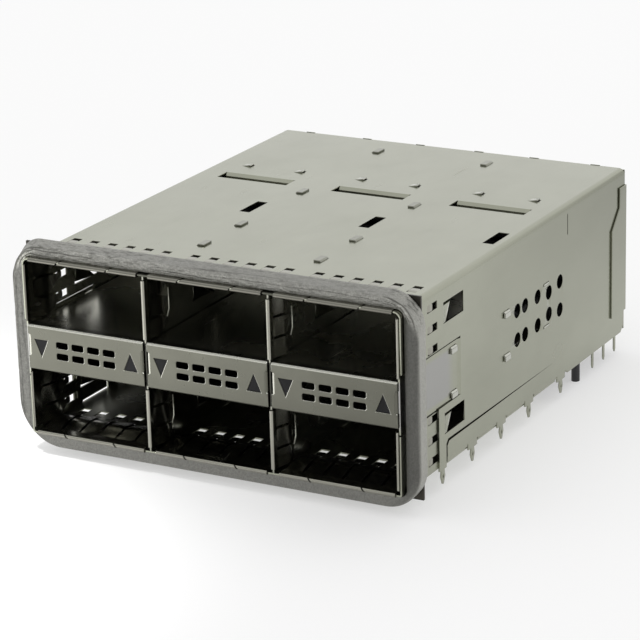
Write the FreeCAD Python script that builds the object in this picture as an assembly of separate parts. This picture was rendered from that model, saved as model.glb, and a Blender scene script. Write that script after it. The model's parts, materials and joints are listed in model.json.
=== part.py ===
import FreeCAD, Part
import math
import os

# A stacked cage for pluggable transceivers: columns of two ports in folded sheet metal.
# Millimetres. X across the ports, Y from the front rim to the rear, Z up from the board.
# Lengths along Y are measured from the front rim, and the export moves the origin to the
# middle connector's seat on the board.

V = FreeCAD.Vector

# Ports
columns = 3
column_pitch = 20.0
port_height = 9.34
web_height = 6.8

# Sheets and gaps
sheet = 0.25
spring_sheet = 0.12
seam = 0.02
slot_gap = 0.08
rim_gap = 0.15
clip_gap = 0.08
board_gap = 0.25
roof_bend = 0.75
bend_radius = 0.4
small_bend = 0.15
rim_fold = 0.2
clip_fold = 0.18
same_point = 1e-6

# Spring fingers
finger_pitch = 3.05
roof_fingers = 6
side_fingers = 3
finger_root = 1.9
finger_peak = 5.0
finger_tip = 9.6
clip_root = 1.0
clip_peak = 3.6
clip_tip = 6.3
finger_bow = 0.6
tip_dip = 0.1
finger_slit = 0.4
finger_tip_width = 0.6
strip_margin = 0.35
rim_margin = 0.65
cheek_finger_drop = 0.2
rim_split = 4.15
rim_split_width = 0.22

# Finger holes, which start ahead of the finger tips
hole_lead = 1.1
roof_hole_length = 2.8
roof_hole_width = 1.4
wall_hole_lead = 1.4
wall_hole_length = 3.0
cheek_hole_length = 3.3
side_hole_width = 1.1

# Latch windows and tabs
latch_start = 13.1
latch_length = 6.25
latch_reach = 2.65
latch_overlap = 0.4
latch_web = 0.12
latch_open_slit = 0.42
latch_seat_slit = 0.1
latch_depth = 0.95
latch_long_edge = 4.0
latch_short_edge = 1.3

# Mid flap of the side wall
flap_rise = 0.6
flap_drop = 0.85
flap_slit = 0.35
flap_bend_start = 17.7
flap_bend_end = 18.3

# Feet and pins
wall_foot = 0.7
rear_foot = 0.4
rear_foot_start = 55.0
rear_chamfer = 1.2
leg_front = 11.35
leg_width = 2.15
first_pin = 21.9
pin_pitch = 9.6
pitched_pins = 3
last_pin = 52.6
shoulder_half = 1.4
relief_width = 0.35
relief_height = 0.3
pin_length = 2.08
pin_neck = 0.8
pin_bulge = 1.2
pin_tip = 0.3
eye_width = 0.5
eye_top = 0.45
eye_low = 1.5
tail_inset = 3.49
tail_pitch = 4.28
tail_count = 3
tail_width = 0.5
slit_width = 0.4
slit_height = 3.65
slit_end = 50.5
slit_corner = 0.6

# Side wall vents
vent_radius = 1.07
vent_sides = 14
vent_lead = 3.75
vent_near_step = 2.7
vent_middle_step = 7.1
vent_inset_step = 11.1
vent_last_step = 15.05
vent_drop = 2.2
vent_inset = 0.53
edge_slit_y = 54.95
edge_slit_width = 0.25
edge_slit_length = 3.2

# Roof openings
window_shift = 6.8
window_width = 1.7
window_start = 32.75
window_length = 5.7
stop_slot_left = 5.85
stop_slot_right = 6.4
stop_slot_start = 47.7
stop_slot_length = 3.0
stop_tab_drop = 2.2
stop_tab_inset = 0.12
stop_tab_gap = 0.25
lance_shift = 4.6
lance_start = 54.7
lance_length = 1.1
lance_width = 1.5
lance_slit = 0.25
lance_rise = 0.3
roof_tab_first = 16.4
roof_tab_second = 27.0
roof_tab_third = 45.6
roof_tab_inset = 3.7
roof_tab_length = 2.2
roof_tab_reach = 1.05
rear_tab_shift = 5.2
rear_tab_width = 1.6

# Bottom plate
plate_rear_gap = 0.3
cheek_length = 12.6
cheek_gap = 0.24
pin_slot_gap = 0.1

# Dividers
divider_front = 0.3
divider_rear_gap = 2.4
relief_front = 3.4
relief_rear = 6.8
relief_top = 6.9
relief_chamfer_top = 3.0
relief_low = 1.35
relief_corner = 0.8

# Separators
separator_side_gap = 0.3
separator_tail = 1.85
lug_first = 16.4
lug_second = 33.3
lug_run = 13.9
lug_length = 1.9
lug_stand = 0.08
lug_lie = 0.06
lug_fold = 0.85
end_notch_depth = 0.42
end_notch_low = 1.2
end_notch_high = 2.0
end_notch_cut = 0.2
arrow_shift = 7.5
arrow_width = 2.3
arrow_height = 2.6
web_vent_columns = 4
web_vent_pitch = 2.63
web_vent_width = 2.0
web_vent_row_pitch = 1.7
web_vent_height = 1.0
web_vent_cut = 0.2

# Light pipes
pipe_size = 1.5
pipe_fit = 0.05
pipe_set_back = 0.08
pipe_nose = 3.5
pipe_foot = 0.9
pipe_drop_gap = 1.0

# Connectors
nose_gap = 1.0
nose_length = 3.0
nose_half_height = 2.0
nose_half_width = 8.2
card_slot_half_width = 7.4
card_slot_height = 1.3
card_slot_depth = 2.4
body_length = 16.5
body_low = 0.6
body_top_room = 2.1
pipe_rebate = 3.3
pipe_rebate_half_height = 2.1
seat_length = 7.4
seat_half_width = 9.7
post_inset = 1.1
post_radius = 0.65
post_length = 3.1
post_place = 7.05
contact_tails = 6
contact_pitch = 2.7
contact_row_front = 2.0
contact_row_rear = 12.6
contact_width = 0.4
contact_depth = 0.25
contact_length = 2.6

# Rear cover
rear_room = 3.7
rear_gap = 0.1
cover_low = 0.6
flange_low = 3.9
flange_step_low = 18.0
flange_step_high = 21.1
flange_high = 24.2
flange_lap = 5.3
flange_short_lap = 2.3

# Gasket and its plate
gasket_front = 1.0
gasket_depth = 2.6
gasket_side = 2.3
gasket_rise = 2.09
gasket_corner = 5.2
gasket_edge = 0.35
gasket_taper = 0.4
gasket_rim_gap = 0.3
gasket_inner_cut = 0.8
plate_sheet = 0.4
plate_side = 1.35
plate_rise = 1.39
plate_gap = 0.06
plate_tab_width = 5.0
plate_tab_length = 2.0

# Derived heights
plate_top = board_gap + sheet
floor_z = plate_top + rim_gap + spring_sheet
web_low = floor_z + port_height
web_high = web_low + web_height
web_middle = (web_low + web_high) / 2
ceiling = web_high + port_height
roof_in = ceiling + spring_sheet + rim_gap
roof_out = roof_in + sheet
port_floors = (floor_z, web_high)

# Derived widths and lengths
wall_in = columns * column_pitch / 2
wall_out = wall_in + sheet
cheek_out = wall_in - seam
cheek_in = cheek_out - sheet
rim_front = rim_fold + spring_sheet * math.sqrt(0.5)
lug_last = lug_second + lug_run
vent_first = lug_second + vent_lead
separator_rear = lug_last + lug_length / 2 + separator_tail
nose_front = separator_rear + nose_gap
body_front = nose_front + nose_length
body_rear = body_front + body_length
pipe_drop = body_rear + pipe_drop_gap
depth = pipe_drop + pipe_size + rear_room
divider_rear = depth - divider_rear_gap
roof_tab_last = divider_rear - roof_tab_inset
seat_front = body_front + post_place - seat_length / 2
seat_y = seat_front + seat_length / 2
separator_half = column_pitch / 2 - separator_side_gap
flap_low = web_low - flap_drop
flap_high = web_high + flap_rise
slit_start = leg_front + leg_width
plate_rear = last_pin - shoulder_half - plate_rear_gap
side_strip_plane = cheek_in - seam - spring_sheet / 2
latch_end = latch_start + latch_length
finger_width = finger_pitch - finger_slit
roof_tab_places = (roof_tab_first, roof_tab_second, roof_tab_third, roof_tab_last)
lug_places = (lug_first, lug_second, lug_last)
column_centres = [(i - (columns - 1) / 2) * column_pitch for i in range(columns)]
divider_places = [c + column_pitch / 2 for c in column_centres[:-1]]
strip_pins = [first_pin + i * pin_pitch for i in range(pitched_pins)] + [last_pin]
wall_tails = [depth - tail_inset - i * tail_pitch for i in range(tail_count)][::-1]
roof_finger_shifts = [(i - (roof_fingers - 1) / 2) * finger_pitch for i in range(roof_fingers)]
side_finger_shifts = [(i - (side_fingers - 1) / 2) * finger_pitch for i in range(side_fingers)]


def place(axis, level, u, v):
    """Point on the plane across an axis: (y, z) across x, (x, z) across y, (x, y) across z."""
    if axis == "x":
        return V(level, u, v)
    if axis == "y":
        return V(u, level, v)
    return V(u, v, level)


def corner_points(corners, i):
    """The points that a corner (u, v) or (u, v, radius) gives: itself, or an arc's three."""
    here = V(corners[i][0], corners[i][1], 0)
    radius = corners[i][2] if len(corners[i]) > 2 else 0
    if radius <= 0:
        return [here]
    last = corners[i - 1]
    following = corners[(i + 1) % len(corners)]
    to_last = (V(last[0], last[1], 0) - here).normalize()
    to_next = (V(following[0], following[1], 0) - here).normalize()
    half = to_last.getAngle(to_next) / 2
    bisector = (to_last + to_next).normalize()
    run = radius / math.tan(half)
    middle = here + bisector * (radius / math.sin(half) - radius)
    return [here + to_last * run, middle, here + to_next * run]


def outline(corners, axis, level):
    """Closed wire through the corners, with arcs where a corner has a radius."""
    turns = [corner_points(corners, i) for i in range(len(corners))]
    edges = []
    for i, turn in enumerate(turns):
        points = [place(axis, level, p.x, p.y) for p in turn]
        if len(points) == 3:
            edges.append(Part.Arc(*points).toShape())
        following = turns[(i + 1) % len(turns)][0]
        end = place(axis, level, following.x, following.y)
        if points[-1].distanceToPoint(end) > same_point:
            edges.append(Part.LineSegment(points[-1], end).toShape())
    return Part.Wire(edges)


def ring_points(u, v, radius, sides):
    """Corners of a round opening drawn with a number of equal sides."""
    turns = [2 * math.pi * (i + 0.5) / sides for i in range(sides)]
    reach = radius / math.cos(math.pi / sides)
    return [(u + reach * math.cos(turn), v + reach * math.sin(turn)) for turn in turns]


def blank(corners, axis, start, end, holes=()):
    """Flat sheet or bar cut to an outline with holes, from start to end along its axis."""
    wires = [outline(edge, axis, start) for edge in [corners] + list(holes)]
    face = Part.makeFace(wires, "Part::FaceMakerBullseye")
    return face.extrude(place(axis, end - start, 0, 0))


def rectangle(u0, u1, v0, v1, radius=0):
    """Corners of a rectangle, rounded to the radius."""
    return [(u0, v0, radius), (u1, v0, radius), (u1, v1, radius), (u0, v1, radius)]


def clipped(u0, u1, v0, v1, cut):
    """Corners of a rectangle whose corners are cut off."""
    return [(u0 + cut, v0), (u1 - cut, v0), (u1, v0 + cut), (u1, v1 - cut),
            (u1 - cut, v1), (u0 + cut, v1), (u0, v1 - cut), (u0, v0 + cut)]


def block(x0, x1, y0, y1, z0, z1):
    """Box between two corners."""
    low = V(min(x0, x1), min(y0, y1), min(z0, z1))
    return Part.makeBox(abs(x1 - x0), abs(y1 - y0), abs(z1 - z0), low)


def eased(path):
    """Path in which each corner (u, v, cut) becomes a straight run across the corner."""
    points = []
    for i, step in enumerate(path):
        here = V(step[0], step[1], 0)
        if len(step) == 2:
            points.append((here.x, here.y))
            continue
        for other in (path[i - 1], path[i + 1]):
            end = here + (V(other[0], other[1], 0) - here).normalize() * step[2]
            points.append((end.x, end.y))
    return points


def ribbon(path, thickness):
    """Corners of a strip of even thickness bent along a path of (u, v) points."""
    points = [V(u, v, 0) for u, v in path]
    runs = [(points[i + 1] - points[i]).normalize() for i in range(len(points) - 1)]
    left = []
    right = []
    for i, here in enumerate(points):
        before = runs[max(i - 1, 0)]
        after = runs[min(i, len(runs) - 1)]
        normals = V(-before.y, before.x, 0) + V(-after.y, after.x, 0)
        offset = normals * (thickness / 2 / (1 + before.dot(after)))
        left.append((here.x + offset.x, here.y + offset.y))
        right.append((here.x - offset.x, here.y - offset.y))
    return left + right[::-1]


def joined(pieces):
    """One solid from pieces that share faces, with split faces merged."""
    return pieces[0].fuse(pieces[1:]).removeSplitter()


def pin_points(y):
    """Outline of one eye-of-needle pin, from its rear shoulder round the tip to its front."""
    middle = -(eye_top + eye_low) / 2
    rear = [(y + pin_neck / 2, 0), (y + pin_bulge / 2, middle), (y + pin_tip / 2, -pin_length)]
    front = [(2 * y - p[0], p[1]) for p in rear[::-1]]
    return rear + front


def eye_hole(y):
    """Lens-shaped eye of a press-fit pin."""
    middle = -(eye_top + eye_low) / 2
    return [(y, -eye_top), (y + eye_width / 2, middle), (y, -eye_low), (y - eye_width / 2, middle)]


def foot_points(y, foot):
    """A foot with its pin and the two relief notches beside it, from rear to front."""
    rear = y + shoulder_half
    front = y - shoulder_half
    notch = foot + relief_height
    points = [(rear + relief_width, foot), (rear + relief_width, notch), (rear, notch), (rear, 0)]
    points += pin_points(y)
    points += [(front, 0), (front, notch), (front - relief_width, notch), (front - relief_width, foot)]
    return points


def latch_span(floor, side, inner):
    """Low and high edge of a latch window; side is the side of its port that it is on."""
    middle = floor + port_height / 2
    near = latch_web if inner else -latch_overlap
    if side > 0:
        return middle + near, middle + latch_reach
    return middle - latch_reach, middle - near


def latch_window(span):
    """Window that a latch tab is lanced from."""
    return rectangle(latch_start, latch_end, span[0], span[1])


def latch_tab(face, side, span):
    """Tab bent into the port from the window's front edge; its rear edge slants."""
    middle = face - side * sheet / 2
    path = [(middle, latch_start), (middle - side * latch_depth, latch_start + latch_long_edge)]
    low = span[0] + (latch_seat_slit if side > 0 else latch_open_slit)
    high = span[1] - (latch_open_slit if side > 0 else latch_seat_slit)
    tab = blank(ribbon(path, sheet), "z", low, high)
    root = latch_start + sheet
    low_end = latch_start + (latch_short_edge if side > 0 else latch_long_edge)
    high_end = latch_start + (latch_long_edge if side > 0 else latch_short_edge)
    slant = [(root, low), (low_end, low), (high_end, high), (root, high)]
    reach = latch_depth + 2 * sheet
    kept = blank(slant, "x", middle - reach, middle + reach)
    stub = block(face, face - side * sheet, latch_start - sheet, root, low, high)
    return joined([tab.common(kept), stub])


def finger_holes(centre_line, shifts, lead, length, width):
    """Holes for the tips of a row of spring fingers, as (length, cross) corner lists."""
    holes = []
    start = finger_tip - lead
    for shift in shifts:
        low = centre_line + shift - width / 2
        holes.append(rectangle(start, start + length, low, low + width))
    return holes


def sheet_finger_holes():
    """Holes for the finger tips of all columns in the roof or floor, as (x, y) corner lists."""
    holes = []
    for centre in column_centres:
        for hole in finger_holes(centre, roof_finger_shifts, hole_lead, roof_hole_length, roof_hole_width):
            holes.append([(corner[1], corner[0]) for corner in hole])
    return holes


def lug_heights():
    """Low edges of the two plates of a separator."""
    return web_low, web_high - sheet


def lug_slots(places):
    """Slots for the separators' lugs in an upright sheet."""
    slots = []
    for low in lug_heights():
        for y in places:
            slots.append(rectangle(y - lug_length / 2 - slot_gap, y + lug_length / 2 + slot_gap,
                                   low - slot_gap, low + sheet + slot_gap))
    return slots


def wall_vents():
    """Round vents in the side wall, two rows about the separators' middle."""
    places = [(vent_first, vent_drop), (vent_first + vent_near_step, vent_drop),
              (vent_first + vent_middle_step, vent_drop),
              (vent_first + vent_inset_step, vent_drop - vent_inset),
              (vent_first + vent_last_step, vent_drop)]
    vents = []
    for y, rise in places:
        for way in (-1, 1):
            vents.append(ring_points(y, web_middle + way * rise, vent_radius, vent_sides))
    return vents


def wall_outline(side, top):
    """Outline of a side wall, with its feet, pins, spring slit and the gap for the flap."""
    slit_front = slit_start
    if side < 0:
        slit_front = strip_pins[0] - shoulder_half - slit_width
    points = [(rim_front, top), (depth, top), (depth, rear_foot + rear_chamfer),
              (depth - rear_chamfer, rear_foot)]
    for y in wall_tails[::-1]:
        points += [(y + tail_width / 2, rear_foot), (y + tail_width / 2, -pin_length + tail_width),
                   (y, -pin_length), (y - tail_width / 2, -pin_length + tail_width),
                   (y - tail_width / 2, rear_foot)]
    points += [(rear_foot_start, rear_foot), (rear_foot_start, wall_foot)]
    for y in strip_pins[:0:-1]:
        points += foot_points(y, wall_foot)
    first = foot_points(strip_pins[0], wall_foot)
    if side > 0:
        points += first
        points += [(slit_front + slit_width, wall_foot)]
    else:
        points += first[:-3]
    inner = slit_front + slit_width
    outer_top = slit_height + slit_width
    points += [(inner, slit_height - slit_corner), (inner + slit_corner, slit_height),
               (slit_end, slit_height), (slit_front + slit_corner, outer_top),
               (slit_front, outer_top - slit_corner)]
    if side > 0:
        points += [(slit_front, 0)]
        points += pin_points((leg_front + slit_front) / 2)
        points += [(leg_front, 0)]
    else:
        points += [(slit_front, wall_foot), (slit_start, wall_foot), (slit_start, 0)]
        points += pin_points((leg_front + slit_start) / 2)
        points += [(leg_front, 0)]
    top_slit = flap_slit if side > 0 else seam
    points += [(leg_front, flap_low - seam), (flap_bend_end, flap_low - seam),
               (flap_bend_end, flap_high + top_slit), (rim_front, flap_high + top_slit)]
    return points


def wall_holes(side):
    """Openings in one side wall."""
    leg_pin = (leg_front + slit_start) / 2
    holes = [eye_hole(y) for y in strip_pins + [leg_pin]]
    holes += [latch_window(latch_span(floor, side, False)) for floor in port_floors]
    holes += finger_holes(web_high + port_height / 2, side_finger_shifts,
                          wall_hole_lead, wall_hole_length, side_hole_width)
    holes += lug_slots(lug_places[1:])
    holes += wall_vents()
    slit_top = roof_out - roof_bend - sheet - relief_width
    holes.append(rectangle(edge_slit_y - edge_slit_width / 2, edge_slit_y + edge_slit_width / 2,
                           slit_top - edge_slit_length, slit_top))
    return holes


def wall_flap(side):
    """Flap of the side wall that is joggled inwards to lie in line with the floor's cheek."""
    outer = side * (wall_in + sheet / 2)
    inner = side * (cheek_in + sheet / 2)
    path = [(inner, rim_front), (inner, flap_bend_start), (outer, flap_bend_end),
            (outer, flap_bend_end + sheet)]
    flap = blank(ribbon(path, sheet), "z", flap_low, flap_high)
    slots = [blank(slot, "x", inner - sheet, inner + sheet) for slot in lug_slots(lug_places[:1])]
    return flap.cut(slots)


def roof_holes():
    """Openings in the roof sheet, as (x, y) corner lists."""
    holes = sheet_finger_holes()
    for centre in column_centres:
        left = centre + window_shift
        holes.append(rectangle(left, left + window_width, window_start, window_start + window_length))
        holes.append(rectangle(centre - stop_slot_left, centre + stop_slot_right,
                               stop_slot_start, stop_slot_start + stop_slot_length))
        for way in (-1, 1):
            left = centre + way * lance_shift - lance_width / 2
            holes.append(rectangle(left, left + lance_width + lance_slit,
                                   lance_start, lance_start + lance_length))
    half = sheet / 2 + slot_gap
    for x in divider_places:
        for y in roof_tab_places:
            reach = roof_tab_length / 2 + slot_gap
            holes.append(rectangle(x - half, x + half, y - reach, y + reach))
    return holes


def roof_outline(half):
    """Outline of the roof sheet with notches in its rear edge for the rear cover's tabs."""
    points = [(-half, rim_front), (half, rim_front), (half, depth)]
    notch = rear_tab_width / 2 + slot_gap
    for centre in column_centres[::-1]:
        for x in (centre + rear_tab_shift, centre - rear_tab_shift):
            points += [(x + notch, depth), (x + notch, depth - sheet),
                       (x - notch, depth - sheet), (x - notch, depth)]
    points.append((-half, depth))
    return points


def stop_tab(centre):
    """Tab that stops a module: hinged at the rear edge of its slot and bent down."""
    middle = roof_in + sheet / 2
    rear = stop_slot_start + stop_slot_length
    face = rear - bend_radius
    path = eased([(rear + sheet, middle), (face, middle, bend_radius), (face, roof_in - stop_tab_drop)])
    left = centre - stop_slot_left + stop_tab_inset
    return blank(ribbon(path, sheet), "x", left, centre + stop_slot_right - stop_tab_gap)


def roof_lance(x):
    """Small strip lanced from the roof, hinged at its left end and raised at its right end."""
    middle = roof_in + sheet / 2
    left = x - lance_width / 2
    path = [(left - sheet, middle), (left, middle), (x + lance_width / 2, middle + lance_rise)]
    return blank(ribbon(path, sheet), "y", lance_start, lance_start + lance_length)


def cage_shell():
    """Roof and side walls, one folded sheet."""
    turn = roof_bend + sheet
    half = wall_out - turn
    top = roof_out - turn
    pieces = [blank(roof_outline(half), "z", roof_in, roof_out, roof_holes())]
    for side in (-1, 1):
        edge = [(side * wall_out, top), (side * wall_out, roof_out, turn), (side * half, roof_out),
                (side * half, roof_in), (side * wall_in, roof_in, roof_bend), (side * wall_in, top)]
        pieces.append(blank(edge, "y", rim_front, depth))
        wall = blank(wall_outline(side, top), "x", side * wall_in, side * wall_out, wall_holes(side))
        pieces.append(wall)
        pieces.append(wall_flap(side))
        for floor in port_floors:
            pieces.append(latch_tab(side * wall_out, side, latch_span(floor, side, False)))
    for centre in column_centres:
        pieces.append(stop_tab(centre))
        pieces += [roof_lance(centre + way * lance_shift) for way in (-1, 1)]
    return joined(pieces)


def bottom_plate():
    """Floor sheet with upturned cheeks at the front of both sides."""
    turn = small_bend + sheet
    half = cheek_out - turn
    middle = board_gap + sheet / 2
    holes = sheet_finger_holes()
    slot_half = sheet / 2 + pin_slot_gap
    for x in divider_places:
        for y in strip_pins[:-1]:
            reach = shoulder_half + pin_slot_gap
            holes.append(rectangle(x - slot_half, x + slot_half, y - reach, y + reach))
    edge = [(-half, rim_front), (half, rim_front), (half, cheek_length), (cheek_out, cheek_length),
            (cheek_out, plate_rear), (-cheek_out, plate_rear), (-cheek_out, cheek_length),
            (-half, cheek_length)]
    pieces = [blank(edge, "z", board_gap, plate_top, holes)]
    cheek_top = flap_low - cheek_gap
    for side in (-1, 1):
        wall = side * (cheek_in + sheet / 2)
        path = eased([(side * half, middle), (wall, middle, small_bend), (wall, board_gap + turn)])
        pieces.append(blank(ribbon(path, sheet), "y", rim_front, cheek_length))
        cheek = rectangle(rim_front, cheek_length, board_gap + turn, cheek_top)
        cheek_holes = finger_holes(floor_z + port_height / 2 - cheek_finger_drop, side_finger_shifts,
                                   hole_lead, cheek_hole_length, side_hole_width)
        pieces.append(blank(cheek, "x", side * cheek_in, side * cheek_out, cheek_holes))
    return joined(pieces)


def divider(x):
    """Upright sheet between two columns, with latch tabs both ways, folded roof tabs and pins."""
    low = plate_top + seam
    high = roof_in - seam
    points = [(divider_front, low), (divider_front, high), (divider_rear, high), (divider_rear, low)]
    for y in strip_pins[::-1]:
        points += [(y + shoulder_half, low), (y + shoulder_half, 0)] + pin_points(y)
        points += [(y - shoulder_half, 0), (y - shoulder_half, low)]
    holes = [eye_hole(y) for y in strip_pins]
    holes += lug_slots(lug_places)
    for floor in port_floors:
        holes += [latch_window(latch_span(floor, side, True)) for side in (-1, 1)]
        holes.append([(relief_front, floor + relief_low),
                      (relief_rear - relief_corner, floor + relief_low),
                      (relief_rear, floor + relief_chamfer_top),
                      (relief_rear, floor + relief_top - relief_corner),
                      (relief_rear - relief_corner, floor + relief_top),
                      (relief_front, floor + relief_top)])
    half = sheet / 2
    pieces = [blank(points, "x", x - half, x + half, holes)]
    for floor in port_floors:
        for side in (-1, 1):
            pieces.append(latch_tab(x + side * half, side, latch_span(floor, side, True)))
    way = -1 if x > 0 else 1
    lie = roof_out + seam + half
    path = eased([(x, high), (x, lie, small_bend), (x + way * roof_tab_reach, lie)])
    for y in roof_tab_places:
        pieces.append(blank(ribbon(path, sheet), "y", y - roof_tab_length / 2, y + roof_tab_length / 2))
    return joined(pieces)


def arrow(centre, way, shrink):
    """Arrow-head triangle that points up or down, made smaller all round by a gap."""
    top = web_middle + way * (arrow_height / 2 - 2 * shrink)
    base = web_middle - way * (arrow_height / 2 - shrink)
    half = arrow_width / 2 - 2 * shrink
    return [(centre, top), (centre - half, base), (centre + half, base)]


def end_notch(centre, side):
    """Notch in one end of a separator's front."""
    inner = centre + side * (separator_half - end_notch_depth)
    outer = centre + side * (separator_half + sheet)
    low = web_middle - end_notch_low
    high = web_middle + end_notch_high
    return [(outer, low), (inner + side * end_notch_cut, low), (inner, low + end_notch_cut),
            (inner, high - end_notch_cut), (inner + side * end_notch_cut, high), (outer, high)]


def folded_lug(start, side, face, level, y):
    """Lug that passes through a sheet and is folded down on its outer face."""
    middle = level + sheet / 2
    lie = face + side * (lug_lie + sheet / 2)
    path = eased([(start, middle), (lie, middle, small_bend), (lie, middle - lug_fold)])
    return blank(ribbon(path, sheet), "y", y - lug_length / 2, y + lug_length / 2)


def separator(column):
    """Folded channel between the two rows, with vents, arrow windows and side lugs."""
    centre = column_centres[column]
    front = sheet / 2
    low = web_low + sheet / 2
    high = web_high - sheet / 2
    path = eased([(separator_rear, low), (front, low, small_bend), (front, high, small_bend),
                  (separator_rear, high)])
    channel = blank(ribbon(path, sheet), "x", centre - separator_half, centre + separator_half)
    openings = [arrow(centre - arrow_shift, -1, 0), arrow(centre + arrow_shift, 1, 0)]
    openings += [end_notch(centre, side) for side in (-1, 1)]
    for i in range(web_vent_columns):
        x = centre + (i - (web_vent_columns - 1) / 2) * web_vent_pitch
        for way in (-1, 1):
            z = web_middle + way * web_vent_row_pitch / 2
            openings.append(clipped(x - web_vent_width / 2, x + web_vent_width / 2,
                                    z - web_vent_height / 2, z + web_vent_height / 2, web_vent_cut))
    channel = channel.cut([blank(opening, "y", -sheet, 2 * sheet) for opening in openings])
    lugs = []
    for side in (-1, 1):
        outermost = column == (columns - 1 if side > 0 else 0)
        start = centre + side * separator_half
        end = centre + side * (column_pitch / 2 - seam)
        straight = lug_places
        if outermost:
            end = side * (wall_out + lug_stand)
            straight = lug_places[2:]
            for level in lug_heights():
                lugs.append(folded_lug(start, side, side * cheek_out, level, lug_first))
                lugs.append(folded_lug(start, side, side * wall_out, level, lug_second))
        for level in lug_heights():
            for y in straight:
                lugs.append(block(start, end, y - lug_length / 2, y + lug_length / 2, level, level + sheet))
    return joined([channel] + lugs)


def light_pipe(centre, way):
    """Bar with an arrow-shaped nose that runs back and turns down to the board."""
    half = pipe_size / 2
    rear = pipe_drop + pipe_size
    top = web_middle + half
    corners = [(pipe_nose, web_middle - half), (pipe_nose, top), (pipe_drop, top),
               (rear, web_middle - half), (rear, pipe_foot), (pipe_drop, pipe_foot),
               (pipe_drop, web_middle - half)]
    bar = blank(corners, "x", centre - half, centre + half)
    nose = blank(arrow(centre, way, pipe_fit), "y", pipe_set_back, pipe_nose)
    return joined([nose, bar])


def connector(centre):
    """Stacked connector: a body with two card-slot noses, a board seat and two posts."""
    half = column_pitch / 2 - sheet / 2 - seam
    top = ceiling - body_top_room
    waist = half - pipe_rebate
    low = web_middle - pipe_rebate_half_height
    high = web_middle + pipe_rebate_half_height
    right = [(half, body_low), (half, low), (waist, low), (waist, high), (half, high), (half, top)]
    corners = [(centre + x, z) for x, z in right] + [(centre - x, z) for x, z in right[::-1]]
    pieces = [blank(corners, "y", body_front, body_rear)]
    slots = []
    for floor in port_floors:
        middle = floor + port_height / 2
        nose = rectangle(centre - nose_half_width, centre + nose_half_width,
                         middle - nose_half_height, middle + nose_half_height)
        pieces.append(blank(nose, "y", nose_front, body_front))
        slots.append(block(centre - card_slot_half_width, centre + card_slot_half_width,
                           nose_front, nose_front + card_slot_depth,
                           middle - card_slot_height / 2, middle + card_slot_height / 2))
    pieces.append(block(centre - seat_half_width, centre + seat_half_width,
                        seat_front, seat_front + seat_length, 0, body_low))
    for side in (-1, 1):
        x = centre + side * (column_pitch / 2 - post_inset)
        pieces.append(Part.makeCylinder(post_radius, post_length, V(x, seat_y, 0), V(0, 0, -1)))
    return joined(pieces).cut(slots)


def contacts(centre):
    """Press-fit tails below one connector, in two rows."""
    tails = []
    for row in (contact_row_front, contact_row_rear):
        y = body_front + row
        for i in range(contact_tails):
            x = centre + (i - (contact_tails - 1) / 2) * contact_pitch
            tails.append(block(x - contact_width / 2, x + contact_width / 2, y, y + contact_depth,
                               body_low - contact_length, body_low))
    return Part.makeCompound(tails)


def finger(axis, face, way, middle, steps):
    """One spring finger bent along its steps of (y, height over the sheet), tapered past its peak."""
    root = finger_width / 2
    tip = finger_tip_width / 2
    stub = steps[0][0] - spring_sheet
    straight = steps[1][0] + spring_sheet
    beyond = steps[2][0] + spring_sheet
    taper = [(stub, middle - root), (straight, middle - root), (beyond, middle - tip),
             (beyond, middle + tip), (straight, middle + root), (stub, middle + root)]
    reach = steps[1][1] + spring_sheet + tip_dip
    if axis == "x":
        path = [(y, face + way * out) for y, out in steps]
        plan = blank([(cross, y) for y, cross in taper], "z", face - reach, face + reach)
    else:
        path = [(face + way * out, y) for y, out in steps]
        plan = blank(taper, "x", face - reach, face + reach)
    bar = blank(ribbon(path, spring_sheet), axis, middle - root, middle + root)
    return bar.common(plan)


def sheet_finger_steps(base):
    """Bends of a finger whose tip ends in a hole of the sheet that it stands on."""
    return [(finger_root, base), (finger_peak, base + finger_bow), (finger_tip, -tip_dip)]


def rim_strip(centre, face, way, outer):
    """Strip folded over the front edge of the roof or floor, with a row of fingers."""
    half = column_pitch / 2 - sheet / 2 - clip_gap - spring_sheet - rim_margin
    base = rim_gap + spring_sheet / 2
    inside = face + way * base
    outside = outer - way * (seam + spring_sheet / 2)
    front = spring_sheet / 2
    path = eased([(finger_root, outside), (front, outside, rim_fold), (front, inside, rim_fold),
                  (finger_root, inside)])
    fold = blank(ribbon(path, spring_sheet), "x", centre - half, centre + half)
    splits = []
    for side in (-1, 1):
        left = centre + side * rim_split - rim_split_width / 2
        splits.append(block(left, left + rim_split_width, -sheet, finger_root + sheet,
                            outside - way * spring_sheet, outside + way * spring_sheet))
    steps = sheet_finger_steps(base)
    fingers = [finger("x", face, way, centre + shift, steps) for shift in roof_finger_shifts]
    return joined([fold.cut(splits)] + fingers)


def side_strip(side, inner, outer, floor, drop):
    """Strip folded over the front edge of a side wall or cheek, with a row of fingers inside."""
    lip = side * (outer + seam + spring_sheet / 2)
    plane = side * side_strip_plane
    front = spring_sheet / 2
    path = eased([(lip, clip_root), (lip, front, small_bend), (plane, front, small_bend),
                  (plane, finger_root)])
    low = floor + strip_margin
    high = floor + port_height - strip_margin
    pieces = [blank(ribbon(path, spring_sheet), "z", low, high)]
    middle = floor + port_height / 2 - drop
    steps = sheet_finger_steps(inner - side_strip_plane)
    for shift in side_finger_shifts:
        pieces.append(finger("z", side * inner, -side, middle + shift, steps))
    return joined(pieces)


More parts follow.
